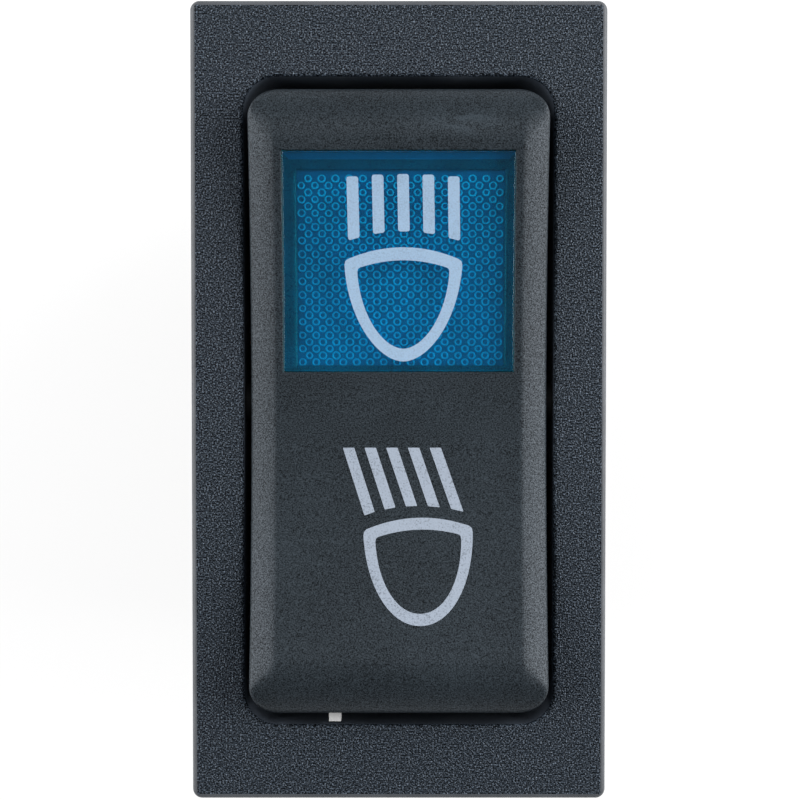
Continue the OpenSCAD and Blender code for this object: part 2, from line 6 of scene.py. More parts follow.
import bmesh
import bpy
from bpy.props import FloatProperty, FloatVectorProperty, IntProperty, PointerProperty
from bpy.types import Operator, Panel, PropertyGroup
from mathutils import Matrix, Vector


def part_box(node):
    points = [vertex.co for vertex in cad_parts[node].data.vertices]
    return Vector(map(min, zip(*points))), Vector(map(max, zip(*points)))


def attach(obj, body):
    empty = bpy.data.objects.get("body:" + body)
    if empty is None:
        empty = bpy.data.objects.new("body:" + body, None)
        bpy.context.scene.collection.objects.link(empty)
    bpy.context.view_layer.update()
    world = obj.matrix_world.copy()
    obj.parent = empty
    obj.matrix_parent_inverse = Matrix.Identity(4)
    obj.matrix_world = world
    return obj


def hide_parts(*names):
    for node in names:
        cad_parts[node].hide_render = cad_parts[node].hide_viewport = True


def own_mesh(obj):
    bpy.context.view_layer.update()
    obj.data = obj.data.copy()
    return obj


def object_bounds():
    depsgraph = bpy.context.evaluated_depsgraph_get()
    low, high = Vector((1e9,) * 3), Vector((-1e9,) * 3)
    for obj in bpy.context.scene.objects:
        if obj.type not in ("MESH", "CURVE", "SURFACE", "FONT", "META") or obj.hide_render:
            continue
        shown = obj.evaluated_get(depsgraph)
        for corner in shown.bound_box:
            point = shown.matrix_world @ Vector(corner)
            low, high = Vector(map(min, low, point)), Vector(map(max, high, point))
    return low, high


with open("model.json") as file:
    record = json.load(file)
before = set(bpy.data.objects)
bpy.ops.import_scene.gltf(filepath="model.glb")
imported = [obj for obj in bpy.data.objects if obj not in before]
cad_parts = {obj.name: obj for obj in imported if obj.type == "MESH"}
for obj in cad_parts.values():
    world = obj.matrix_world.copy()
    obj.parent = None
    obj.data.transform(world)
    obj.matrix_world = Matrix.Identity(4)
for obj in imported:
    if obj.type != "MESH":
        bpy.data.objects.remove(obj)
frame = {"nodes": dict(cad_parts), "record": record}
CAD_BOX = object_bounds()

bl_info = {
    "name": "Rocker Switch Dressing",
    "version": (1, 0, 0),
    "blender": (4, 5, 0),
    "location": "View3D > Sidebar > Switch",
    "description": "Builds the visual pieces of a panel rocker switch around its solids",
    "category": "Object",
}

MM = 0.001
SIDES = (-1, 1)
# Nearness that counts as the same place
SLACK = 0.01 * MM
# Edges that turn by more than this many degrees stay sharp
CREASE = 32
# Roughness varies by this much either way
UNEVEN = 0.06
# Tint of the gloss on black plastic
COOL_GLOSS = (0.84, 0.91, 1.0, 1)
HOUSING_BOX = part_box("bezel_housing")
CAP_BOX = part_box("rocker_cap")
FLOOR_HEIGHT = CAD_BOX[0].z
# Places of the finishes in the lists of the housing, the cap and the window
WELL_PAINTED_LIGHT_FINISH, EDGE_PAINTED_HIGHLIGHT_FINISH, BOX_FINISH = 1, 2, 3
PIN_PAINTED_SHADE_FINISH = 1
PAN_FINISH, DOT_FINISH, RIM_FINISH = 0, 1, 2


def words(thing, measure, tail=""):
    """A property's name and description."""
    return {"name": f"{thing} {measure}".capitalize(),
            "description": f"{measure} of the {thing} {tail}".strip().capitalize()}


def length(thing, measure, millimetres, tail=""):
    """A length that a user may change."""
    return FloatProperty(default=millimetres * MM, precision=5, subtype="DISTANCE", unit="LENGTH",
                         **words(thing, measure, tail))


def angle(thing, measure, degrees, tail=""):
    """An angle that a user may change."""
    return FloatProperty(default=math.radians(degrees), subtype="ANGLE", unit="ROTATION",
                         **words(thing, measure, tail))


def number(thing, measure, value, tail="", **limits):
    """A plain number that a user may change."""
    return FloatProperty(default=value, **words(thing, measure, tail), **limits)


def colour(name, description, rgb):
    """A linear colour that a user may change."""
    return FloatVectorProperty(name=name, description=description, default=rgb, size=3, min=0, max=1,
                               subtype="COLOR")


class SwitchHousingSizes(PropertyGroup):
    """Sizes of the bezel and the box behind it."""
    bezel_w: length("bezel", "width", 2 * HOUSING_BOX[1].x / MM)
    bezel_l: length("bezel", "length", 50)
    bezel_h: length("bezel", "height", HOUSING_BOX[1].z / MM, "over the panel")
    bezel_corner: length("bezel", "corner radius", 0.6)
    bezel_edge: length("bezel's front edge", "rounding", 0.3)
    back_edge: length("bezel's back edge", "rounding", 0.12)
    opening_w: length("rocker's opening", "width", 19.4)
    opening_l: length("rocker's opening", "length", 40.6)
    opening_corner: length("rocker's opening", "corner radius", 2.1)
    lip: length("opening's front edge", "rounding", 0.22)
    box_w: length("box", "width", 21.6, "behind the panel")
    box_l: length("box", "length", 43.6, "behind the panel")
    box_corner: length("box", "corner radius", 0.8)
    box_z: length("box's back end", "height", HOUSING_BOX[0].z / MM)
    pivot_z: length("rocker's pivot", "height", 1.6)
    socket_r: length("pivot sockets", "radius", 1.25)
    socket_x: length("pivot sockets", "reach", 11.2, "from the middle")
    latch_w: length("panel latches", "width", 7)
    latch_slit: length("latches' slits", "width", 0.8)
    latch_tip: length("latches' free ends", "height", -2.6)
    latch_crest: length("latches' crests", "height", -4.4)
    latch_ramp: length("latches' ramps", "height", -12, "where they start")
    latch_root: length("latches' roots", "height", -17)
    latch_out: length("latches' crests", "reach", 1.1, "past the box")
    rib_w: length("fitting ribs", "width", 1.2)
    rib_out: length("fitting ribs", "reach", 0.15, "past the box")
    rib_y: length("fitting ribs", "distance", 15, "from the middle")
    rib_high: length("ribs' front ends", "height", -2.2)
    rib_low: length("ribs' back ends", "height", -20.2)
    snap_y: length("base's snap windows", "distance", 10, "from the middle")
    snap_w: length("snap windows", "width", 4.2)
    snap_low: length("snap windows' lower edges", "height", -24.8)
    snap_high: length("snap windows' upper edges", "height", -23.2)


class SwitchRockerSizes(PropertyGroup):
    """Sizes of the rocker's cap."""
    width: length("cap", "width", 18.5)
    long: length("cap", "length", 38.7)
    corner: length("cap", "corner radius", 1.9, "in plan")
    middle_z: length("face's middle", "height", 4.4)
    dish: length("dished face", "rise", 2.5, "at its ends")
    bevel_w: length("side bevels", "width", 1.65)
    bevel_h: length("side bevels", "drop", 0.9)
    bevel_r: length("side bevels' crown", "radius", 7)
    roll_w: length("end rolls", "length", 3.6)
    roll_h: length("end rolls", "drop", 2.1)
    wall: length("cap's skirt", "thickness", 1.2)
    face_t: length("cap's face", "thickness", 1.6)
    skirt_z: length("skirt's lower edge", "height", CAP_BOX[0].z / MM)
    edge: length("window's and skirt's edges", "rounding", 0.07)
    pin_r: length("pivot pins", "radius", 1.2)
    catch_x: length("catch noses", "distance", 4, "from the middle")
    catch_w: length("catch openings", "width", 0.85)
    catch_low: length("catch openings' lower edges", "height", 2.85)
    catch_high: length("catch openings' upper edges", "height", 3.95)


class SwitchWindowSizes(PropertyGroup):
    """Sizes of the blue window and its dotted back."""
    half_w: length("window", "half width", 7.15)
    low: length("window's lower edge", "distance", 1.9, "from the pivot")
    high: length("window's upper edge", "distance", 15.4, "from the pivot")
    play: length("window", "play", 0.05, "in the cap")
    edge: length("window's front edge", "rounding", 0.08)
    plate_t: length("clear front plate", "thickness", 0.9)
    depth: length("window's back", "depth", 2.5, "under its face")
    flange: length("flange", "reach", 0.55, "under the cap's face")
    flange_depth: length("flange's front", "depth", 1.65, "under the face")
    pan: length("dotted pan", "depth", 0.25, "under its rim")
    glint: length("bright strip", "width", 0.38, "along the upper edge")
    rim_left: length("smooth rim", "left width", 0.85)
    rim_right: length("smooth rim", "right width", 0.6)
    rim_low: length("smooth rim", "lower width", 0.3)
    rim_high: length("smooth rim", "upper width", 1.0)
    pitch: length("dots", "pitch", 0.84, "along a row")
    ring_r: length("ring-shaped dots", "middle radius", 0.2)
    ring_t: length("ring-shaped dots", "half thickness", 0.065)


def sign_fields(lamp, bars):
    """Sizes of a printed beam sign: its lamp outline and the five bars over it."""
    x, y, half_w, deep, crown, stroke, power, turn = lamp
    pitch, middle, top, low, arch, slant, fan, corner, follow = bars
    return {
        "ink": length("print", "height", 0.025, "over the face"),
        "x": length("lamp's middle", "distance", x, "from the rocker's middle line"),
        "y": length("lamp's upper corners", "distance", y, "from the pivot"),
        "half_w": length("lamp", "half width", half_w),
        "deep": length("lamp", "depth", deep, "under its upper corners"),
        "crown": length("lamp's crown", "rise", crown, "over its corners"),
        "stroke": length("lamp's outline", "stroke", stroke),
        "power": number("lamp's bowl", "power", power, "(2 for an ellipse)", min=1, max=4),
        "turn": angle("lamp", "turn", turn),
        "bar_w": length("bars", "width", 0.71),
        "pitch": length("bars", "pitch", pitch),
        "middle": length("middle bar's upper end", "distance", middle, "from the middle line"),
        "top": length("bars' upper ends", "distance", top, "from the pivot"),
        "low": length("middle bar's lower end", "distance", low, "from the pivot"),
        "arch": length("outer bars' upper ends", "drop", arch, "under the middle bar's"),
        "slant": angle("middle bar", "slant", slant),
        "fan": angle("bars' slant", "change", fan, "from bar to bar"),
        "corner": length("bars", "corner radius", corner),
        "follow": number("crown's slope", "share", follow, "in the bars' lower ends",
                         min=0, max=1, subtype="FACTOR"),
    }


class SwitchMainSign(PropertyGroup):
    """Sizes of the main-beam sign on the window."""
    __annotations__ = sign_fields(
        lamp=(0.28, 8.76, 3.63, 6.21, 0.81, 0.79, 1.83, 0),
        bars=(1.545, 0.25, 13.97, 10.53, 0.14, 1.1, 0, 0.14, 0.55),
    )


class SwitchDippedSign(PropertyGroup):
    """Sizes of the dipped-beam sign on the rocker's lower half."""
    __annotations__ = sign_fields(
        lamp=(1.18, -7.8, 3.39, 5.9, 0.68, 0.73, 2.07, 2),
        bars=(1.345, -0.43, -2.79, -6.4, 0, 18.6, 0.4, 0.04, 1),
    )


class SwitchSpringSizes(PropertyGroup):
    """Sizes of the plungers' springs."""
    wire: length("wire", "thickness", 0.4)
    coil_r: length("coils", "mean radius", 1.5)
    turns: IntProperty(name="Turns", description="Coils of a spring", default=6, min=2)


class SwitchColours(PropertyGroup):
    """Colours of the switch."""
    housing: colour("Housing", "Grained black of the bezel", (0.0147, 0.0238, 0.0362))
    # The well's black is lightened: painted light in the dark gap round the rocker
    well: colour("Well", "Smooth black of the rocker's well", (0.120, 0.145, 0.185))
    box: colour("Box", "Matte black of the box behind the panel", (0.020, 0.023, 0.028))
    # Far lighter than the bezel's black: painted highlight on the bezel's rounded outer edge
    edge: colour("Bezel edge", "Smooth black of the bezel's rounded edge", (0.130, 0.140, 0.155))
    rocker: colour("Rocker", "Matte black of the rocker", (0.0275, 0.0365, 0.0445))
    # Darker than the rocker's black: painted shade, so that the pins sink into the dark gap
    pin: colour("Pins", "Dull black of the pivot pins", (0.004, 0.005, 0.006))
    base: colour("Base", "Black of the terminal base", (0.018, 0.019, 0.021))
    plate: colour("Window", "Tint of the clear window plate", (0.03, 0.86, 0.99))
    pan: colour("Window back", "Blue of the dotted pan", (0.001, 0.089, 0.210))
    ring: colour("Window dots", "Blue of the ring-shaped dots", (0.005, 0.275, 0.530))
    rim: colour("Window rim", "Blue of the smooth rim", (0.006, 0.047, 0.094))
    ink: colour("Ink on rocker", "Pale ink on the rocker", (0.49, 0.565, 0.68))
    window_ink: colour("Ink on window", "Pale blue ink on the window", (0.46, 0.655, 0.89))
    white: colour("White moulding", "White of the cradle and plungers", (0.95, 0.95, 0.94))
    cream: colour("Socket", "Cream of the lamp socket", (0.66, 0.62, 0.52))
    brass: colour("Brass", "Brass of the terminals", (0.78, 0.60, 0.27))
    copper: colour("Copper", "Copper alloy of the contact rockers", (0.78, 0.42, 0.24))
    silver: colour("Silver", "Silver alloy of the contacts", (0.86, 0.85, 0.82))
    steel: colour("Steel", "Steel of the springs", (0.56, 0.56, 0.57))
    glass: colour("Glass", "Glass of the lamp", (0.93, 0.96, 0.97))


class SwitchStageSettings(PropertyGroup):
    """Camera and light of the stage."""
    distance: length("camera", "distance", 95, "from the bezel's face")
    tilt: angle("camera", "tilt", 1.6, "towards the window's end")
    lens: number("lens", "focal length", 68.34, "in millimetres", min=1)
    shift_x: number("picture", "shift right", 0.0015, "in widths")
    shift_y: number("picture", "shift up", 0.0029, "in widths")
    ambient: number("light from all round", "level", 0.14, min=0)
    left: number("left soft box", "level", 3.2, min=0)
    right: number("right soft box", "level", 4.2, min=0)
    upper: number("upper soft box", "level", 0.6, "at the window's end", min=0)


# Shapes

def quarter_turn(steps):
    """Angles of a quarter turn, with its end."""
    return [math.pi / 2 * i / steps for i in range(steps + 1)]


def full_turn(steps):
    """Angles of a full turn, without its end."""
    return [2 * math.pi * i / steps for i in range(steps)]


def rounded_outline(half_w, half_l, radius, stations):
    """An outline in plan, anticlockwise from the right end of its lower edge: the right half, then its
    mirror image. Stations are the places along a straight side, from -1 to 1."""
    x, y = half_w - radius, half_l - radius
    turns = quarter_turn(steps=10)
    right = [(x + radius * math.sin(a), -y - radius * math.cos(a)) for a in turns]
    right += [(half_w, y * s) for s in stations]
    right += [(x + radius * math.cos(a), y + radius * math.sin(a)) for a in turns]
    return right + [(-px, py) for px, py in reversed(right)]


def make_ring(bm, outline, height):
    """Vertices along an outline; height is a number or a function of y."""
    rise = height if callable(height) else lambda y: height
    return [bm.verts.new((x, y, rise(y))) for x, y in outline]


def tube_ring(bm, place, way, thick, sides):
    """A round section of a wire at a place; way points out from the middle of the wire's turn."""
    return [bm.verts.new(place + way * thick * math.cos(a) + Vector((0, 0, thick * math.sin(a))))
            for a in full_turn(sides)]


def loft(bm, rings, closed=False, finish=0):
    """Quads through a row of rings of the same count."""
    for low, high in zip(rings, rings[1:] + (rings[:1] if closed else [])):
        for i in range(len(low)):
            j = (i + 1) % len(low)
            bm.faces.new((low[i], low[j], high[j], high[i])).material_index = finish


def loft_solid(bm, rings, finish=0):
    """Quads through a row of rings, and a face over each end."""
    loft(bm, rings, finish=finish)
    for end in (rings[0][::-1], rings[-1]):
        bm.faces.new(end).material_index = finish


def rows_across(ring):
    """Pairs of a symmetric ring's vertices that face each other across X, from its lower to its upper end."""
    half = len(ring) // 2
    return [(ring[i], ring[-1 - i]) for i in range(half)]


def close_across(bm, ring, finish=0):
    """Strips across X that close a symmetric ring."""
    rows = rows_across(ring)
    for (r0, l0), (r1, l1) in zip(rows, rows[1:]):
        bm.faces.new((l0, r0, r1, l1)).material_index = finish


def arc_points(start, end, steps):
    """Points of a quarter arc in the profile plane that leaves start upwards and reaches end level."""
    (x0, z0), (x1, z1) = start, end
    return [(x1 + (x0 - x1) * math.cos(a), z0 + (z1 - z0) * math.sin(a)) for a in quarter_turn(steps)]


def add_box(bm, *corners):
    """A box between two opposite corners."""
    (x0, x1), (y0, y1), (z0, z1) = (sorted(pair) for pair in zip(*corners))
    v = [bm.verts.new(p) for p in ((x0, y0, z0), (x1, y0, z0), (x1, y1, z0), (x0, y1, z0),
                                   (x0, y0, z1), (x1, y0, z1), (x1, y1, z1), (x0, y1, z1))]
    for face in ((3, 2, 1, 0), (4, 5, 6, 7), (0, 1, 5, 4), (1, 2, 6, 5), (2, 3, 7, 6), (3, 0, 4, 7)):
        bm.faces.new([v[i] for i in face])


def add_prism(bm, outline, x0, x1):
    """An outline in the YZ plane, drawn out along X."""
    loft_solid(bm, [[bm.verts.new((x, y, z)) for y, z in outline] for x in (x0, x1)])


def add_turned_x(bm, profile, y, z, finish=0):
    """A solid turned about an axis along X; the profile holds (x, radius) from one end to the other."""
    turns = full_turn(steps=40)
    rings = []
    for x, r in profile:
        rings.append([bm.verts.new((x, y + r * math.cos(a), z + r * math.sin(a))) for a in turns])
    loft_solid(bm, rings, finish)


def as_object(bm, name, finishes=(), crease=CREASE):
    """A mesh object with outward faces, smooth but for edges sharper than the crease in degrees."""
    bmesh.ops.recalc_face_normals(bm, faces=bm.faces)
    mesh = bpy.data.meshes.new(name)
    bm.to_mesh(mesh)
    bm.free()
    piece = bpy.data.objects.new(name, mesh)
    bpy.context.scene.collection.objects.link(piece)
    for finish in finishes:
        mesh.materials.append(finish)
    smooth(mesh, crease)
    return piece


def smooth(mesh, crease):
    """Smooth shading with sharp edges over the crease in degrees."""
    mesh.polygons.foreach_set("use_smooth", [True] * len(mesh.polygons))
    mesh.set_sharp_from_angle(angle=math.radians(crease))


def carve(piece, tool, operation):
    """Joins a tool object to a piece or cuts it out, and removes the tool."""
    step = piece.modifiers.new("carve", "BOOLEAN")
    step.operation, step.solver, step.object = operation, "EXACT", tool
    step.use_self = True
    bpy.context.view_layer.update()
    carved = bpy.data.meshes.new_from_object(piece.evaluated_get(bpy.context.evaluated_depsgraph_get()))
    if not carved.polygons:
        raise RuntimeError(f"carving {piece.name} left nothing")
    piece.modifiers.clear()
    old, piece.data = piece.data, carved
    carved.name = piece.name
    bpy.data.meshes.remove(old)
    bpy.data.meshes.remove(tool.data)
    smooth(carved, CREASE)


def dish_height(size, y):
    """Height of the rocker's dished face at a distance y from the pivot."""
    radius = ((size.long / 2) ** 2 + size.dish ** 2) / (2 * size.dish)
    return size.middle_z + radius - math.sqrt(radius ** 2 - y ** 2)


# Finishes

def new_finish(name):
    """A material with an empty node tree."""
    finish = bpy.data.materials.new(name)
    finish.use_nodes = True
    finish.node_tree.nodes.clear()
    return finish, finish.node_tree


def add_node(tree, kind, inputs=None, **settings):
    """A node with its settings, and its inputs set or linked."""
    made = tree.nodes.new(kind)
    for key, value in settings.items():
        setattr(made, key, value)
    for key, value in (inputs or {}).items():
        if isinstance(value, bpy.types.NodeSocket):
            tree.links.new(value, made.inputs[key])
        else:
            made.inputs[key].default_value = value
    return made


def show(finish, shader):
    """Puts a shader on the material's surface, and returns the material."""
    add_node(finish.node_tree, "ShaderNodeOutputMaterial", {"Surface": shader.outputs[0]})
    return finish


def surface(finish, **inputs):
    """Puts the principled shader on the material's surface; names use _ for a space."""
    names = {key.replace("_", " "): value for key, value in inputs.items()}
    return show(finish, add_node(finish.node_tree, "ShaderNodeBsdfPrincipled", names))


def math_node(tree, operation, *values):
    """A value worked out from others."""
    return add_node(tree, "ShaderNodeMath", dict(enumerate(values)), operation=operation).outputs[0]


def added(tree, first, second, share):
    """The first value plus a share of the second."""
    return math_node(tree, "MULTIPLY_ADD", second, share, first)


def places(tree, stretch=(1, 1, 1)):
    """Places on the piece in metres, stretched along its axes."""
    where = add_node(tree, "ShaderNodeTexCoord").outputs["Object"]
    if stretch == (1, 1, 1):
        return where
    return add_node(tree, "ShaderNodeMapping", {"Vector": where, "Scale": stretch}).outputs["Vector"]


def noise(tree, where, size, detail=2.0, roughness=0.5):
    """Noise with grains of about the size given in metres."""
    return add_node(tree, "ShaderNodeTexNoise", {
        "Vector": where, "Scale": 1 / size, "Detail": detail, "Roughness": roughness}).outputs["Fac"]


def spread(tree, value, low, high, from_low=0.3, from_high=0.7):
    """A value moved from one range to another."""
    return add_node(tree, "ShaderNodeMapRange", {
        "Value": value, "From Min": from_low, "From Max": from_high,
        "To Min": low, "To Max": high}).outputs["Result"]


def ramp(tree, value, *stops):
    """A colour ramp of (place, rgb) stops."""
    made = add_node(tree, "ShaderNodeValToRGB", {"Fac": value})
    steps = made.color_ramp.elements
    while len(steps) < len(stops):
        steps.new(0.5)
    for step, (place, rgb) in zip(steps, stops):
        step.position = place
        step.color = (*rgb, 1)
    return made.outputs["Color"]


def shade(rgb, share):
    """A colour times a number."""
    return tuple(min(1.0, c * share) for c in rgb)


def relief(tree, height, depth):
    """A normal from a height map; depth in metres."""
    return add_node(tree, "ShaderNodeBump", {"Height": height, "Distance": depth}).outputs["Normal"]


def lighter_streaks(tree, where, middle, reach):
    """Faint streaks along X in a patch that fades from its middle to its reach."""
    patch = add_node(tree, "ShaderNodeMapping", {"Vector": where, "Location": middle, "Scale": reach},
                     vector_type="TEXTURE").outputs["Vector"]
    fade = add_node(tree, "ShaderNodeTexGradient", {"Vector": patch}, gradient_type="SPHERICAL")
    streaks = spread(tree, noise(tree, places(tree, (0.3, 1, 1)), 0.4 * MM, 3.0), 0.0, 1.0, 0.35, 0.6)
    return math_node(tree, "MULTIPLY", fade.outputs["Fac"], streaks)


def grained_plastic(name, rgb, pebble, depth, roughness, contrast, gloss=0.5, streaked=None):
    """Moulded plastic with a fine even grain whose tone is partly its own and partly painted shade in its
    hollows and painted light on its crests, with faint lighter streaks in a patch where one is asked for.
    """
    finish, tree = new_finish(name)
    where = places(tree)
    grain = noise(tree, where, pebble, 1.0)
    tone = added(tree, grain, noise(tree, where, 6 * MM), 0.2)
    if streaked:
        tone = added(tree, tone, lighter_streaks(tree, where, *streaked), 0.4)
    # Painted shade for the grain's hollows and painted light for its crests, on top of the plastic's own tone
    dark, light = shade(rgb, 1 - contrast), shade(rgb, 1 + contrast)
    return surface(
        finish,
        Base_Color=ramp(tree, tone, (0.38, dark), (0.6, rgb), (0.82, light)),
        Roughness=spread(tree, grain, roughness + UNEVEN, roughness - UNEVEN),
        Specular_IOR_Level=spread(tree, grain, 0.5 * gloss, 1.5 * gloss),
        Specular_Tint=COOL_GLOSS,
        Normal=relief(tree, grain, depth),
    )


def grain_with_painted_glints(name, rgb, pebble, depth):
    """Coarse moulded grain with painted highlights on its crests and painted shade in its hollows."""
    finish, tree = new_finish(name)
    crests = noise(tree, places(tree), pebble, 1.0)
    # Greyer tint of the painted highlights on the crests
    glint_grey = tuple(0.7 * part + 0.3 * max(rgb) for part in rgb)
    # Painted shade in the hollows, painted highlights on the crests and brighter painted highlights on their
    # tips
    hollow, crest, tip = shade(rgb, 0.1), shade(glint_grey, 4), shade(glint_grey, 11)
    return surface(
        finish,
        Base_Color=ramp(tree, crests, (0.38, hollow), (0.52, rgb), (0.64, crest), (0.78, tip)),
        Roughness=spread(tree, crests, 0.58, 0.36),
        Specular_IOR_Level=spread(tree, crests, 0.1, 0.8),
        Specular_Tint=COOL_GLOSS,
        Normal=relief(tree, crests, depth),
    )


def smooth_plastic(name, rgb, roughness, contrast=0.06, ior=1.5):
    """Smooth moulded plastic with faint flow marks."""
    finish, tree = new_finish(name)
    where = places(tree)
    cloud = noise(tree, where, 2.5 * MM, 3.0)
    fine = noise(tree, where, 0.12 * MM)
    return surface(
        finish,
        Base_Color=ramp(tree, cloud, (0.3, shade(rgb, 1 - contrast)), (0.7, shade(rgb, 1 + contrast))),
        Roughness=spread(tree, fine, roughness - UNEVEN, roughness + UNEVEN),
        IOR=ior,
        Normal=relief(tree, fine, 0.006 * MM),
    )


def rolled_metal(name, rgb, roughness, stretch, tarnish):
    """Rolled or drawn metal with streaks along one way and a little tarnish."""
    finish, tree = new_finish(name)
    streaks = noise(tree, places(tree, stretch), 0.25 * MM, 4.0, 0.65)
    stains = noise(tree, places(tree), 2.2 * MM, 4.0, 0.6)
    tone = added(tree, spread(tree, stains, 0.0, 0.75, 0.32, 0.62), streaks, 0.35)
    return surface(
        finish,
        Base_Color=ramp(tree, tone, (0.05, shade(rgb, 1 - tarnish)), (0.45, rgb), (1.0, shade(rgb, 1.12))),
        Metallic=1.0,
        Roughness=spread(tree, tone, roughness + 0.16, roughness - 0.05, 0.1, 0.9),
        Normal=relief(tree, streaks, 0.01 * MM),
    )


def clear_plastic(name, rgb, roughness, gloss=0.5):
    """Clear tinted plastic, a little uneven."""
    finish, tree = new_finish(name)
    where = places(tree)
    cloud = noise(tree, where, 3 * MM)
    fine = noise(tree, where, 0.3 * MM)
    return surface(
        finish,
        Base_Color=ramp(tree, cloud, (0.3, shade(rgb, 0.97)), (0.7, shade(rgb, 1.03))),
        Roughness=spread(tree, fine, roughness - UNEVEN / 2, roughness + UNEVEN / 2),
        Transmission_Weight=1.0,
        IOR=1.49,
        Specular_IOR_Level=gloss,
        Normal=relief(tree, fine, 0.004 * MM),
    )


def printed_ink(name, rgb, wear):
    """Pad-printed ink that thins over the grain under it."""
    finish, tree = new_finish(name)
    where = places(tree)
    specks = noise(tree, where, 0.11 * MM, 2.0, 0.6)
    tone = added(tree, specks, noise(tree, where, 1.2 * MM), 0.3)
    return surface(
        finish,
        Base_Color=ramp(tree, tone, (0.40, shade(rgb, 1 - wear)), (0.62, rgb), (0.9, shade(rgb, 1.08))),
        Roughness=spread(tree, specks, 0.45, 0.65),
        Normal=relief(tree, specks, 0.012 * MM),
    )


def stage_white(name, near_glow, far_glow, shadow):
    """Pale floor that looks white to the camera, in gloss and through glass. A share of the light that falls
    on it keeps a soft shadow. Its glow makes up the rest, and grows where the lamps' light fades."""
    finish, tree = new_finish(name)
    pale, near, far = 0.86, 0.15, 0.6
    path = add_node(tree, "ShaderNodeLightPath").outputs
    seen = path["Is Camera Ray"]
    for ray in ("Is Glossy Ray", "Is Transmission Ray"):
        seen = math_node(tree, "MAXIMUM", seen, path[ray])
    plain = add_node(tree, "ShaderNodeBsdfDiffuse", {"Color": (pale, pale, pale, 1)})
    shaded = add_node(tree, "ShaderNodeBsdfDiffuse", {"Color": (*[shadow * pale] * 3, 1)})
    away = add_node(tree, "ShaderNodeVectorMath", {0: places(tree)}, operation="LENGTH").outputs["Value"]
    glow = spread(tree, away, near_glow, far_glow, near, far)
    white = add_node(tree, "ShaderNodeEmission", {"Strength": glow})
    backdrop = add_node(tree, "ShaderNodeAddShader", {0: shaded.outputs[0], 1: white.outputs[0]})
    mixed = {0: seen, 1: plain.outputs[0], 2: backdrop.outputs[0]}
    return show(finish, add_node(tree, "ShaderNodeMixShader", mixed))


def dress(slot, finish):
    """Gives a finish to the CAD nodes that have a material slot in the record."""
    for row in frame["record"]["subparts"]:
        if row["material_slot"] == slot:
            piece = frame["nodes"][row["node"]]
            if not piece.material_slots:
                piece.data.materials.append(finish)
            for holder in piece.material_slots:
                holder.material = finish


def place_piece(piece, body, slot, *replaced):
    """Puts a piece on its body, in place of the nodes that it stands for; its slot is not used."""
    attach(piece, body)
    if replaced:
        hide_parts(*replaced)


# Operators

class SWITCH_OT_stage(Operator):
    """Floor, soft boxes, world and camera"""
    bl_idname = "switch.stage"
    bl_label = "Stage"

    def execute(self, context):
        scene = context.scene
        setting = scene.switch_stage
        scene.view_settings.view_transform = "Standard"
        self.floor()
        self.world(scene, setting.ambient)
        middle = Vector((0, 0, HOUSING_BOX[1].z))
        boxes = (
            ("left_soft_box", (-0.24, 0.06, 0.11), (0.30, 0.20), setting.left),
            ("right_soft_box", (0.24, 0.06, 0.11), (0.30, 0.20), setting.right),
            ("upper_soft_box", (0, 0.10, 0.22), (0.24, 0.14), setting.upper),
        )
        for name, place, size, strength in boxes:
            self.soft_box(scene, name, Vector(place), size, strength, middle)
        self.camera(scene, setting, middle)
        return {"FINISHED"}

    def floor(self):
        """A round floor that sweeps up at its edge into a low backdrop."""
        flat, sweep = 2.4, 0.25
        bm = bmesh.new()
        rings = []
        for turn in quarter_turn(steps=12):
            radius, height = flat + sweep * math.sin(turn), sweep * (1 - math.cos(turn))
            circle = [(radius * math.cos(a), radius * math.sin(a)) for a in full_turn(steps=64)]
            rings.append(make_ring(bm, circle, FLOOR_HEIGHT + height))
        bm.faces.new(rings[0])
        loft(bm, rings)
        white = stage_white("floor_white", near_glow=0.74, far_glow=0.95, shadow=0.5)
        as_object(bm, "floor", [white])

    def world(self, scene, ambient):
        """An even, faintly cool light from all round."""
        scene.world = bpy.data.worlds.new("studio")
        scene.world.use_nodes = True
        background = scene.world.node_tree.nodes["Background"]
        background.inputs["Color"].default_value = (0.96, 0.98, 1.0, 1)
        background.inputs["Strength"].default_value = ambient

    def soft_box(self, scene, name, place, size, strength, middle):
        """A rectangular lamp that faces the middle; its level holds for any size."""
        lamp = bpy.data.lights.new(name, "AREA")
        lamp.shape = "RECTANGLE"
        lamp.size, lamp.size_y = size
        lamp.energy = strength * math.pi * size[0] * size[1]
        holder = bpy.data.objects.new(name, lamp)
        holder.location = place
        holder.rotation_euler = (middle - place).to_track_quat("-Z", "Y").to_euler()
        scene.collection.objects.link(holder)

    def camera(self, scene, setting, middle):
        """A camera over the bezel's face, tilted a little towards the window's end."""
        lens = bpy.data.cameras.new("camera")
        lens.lens = setting.lens
        lens.shift_x, lens.shift_y = setting.shift_x, setting.shift_y
        lens.clip_start = 5 * MM
        holder = bpy.data.objects.new("camera", lens)
        away = Vector((0, math.sin(setting.tilt), math.cos(setting.tilt)))
        holder.location = middle + away * setting.distance
        holder.rotation_euler = (-setting.tilt, 0, 0)
        scene.collection.objects.link(holder)
        scene.camera = holder


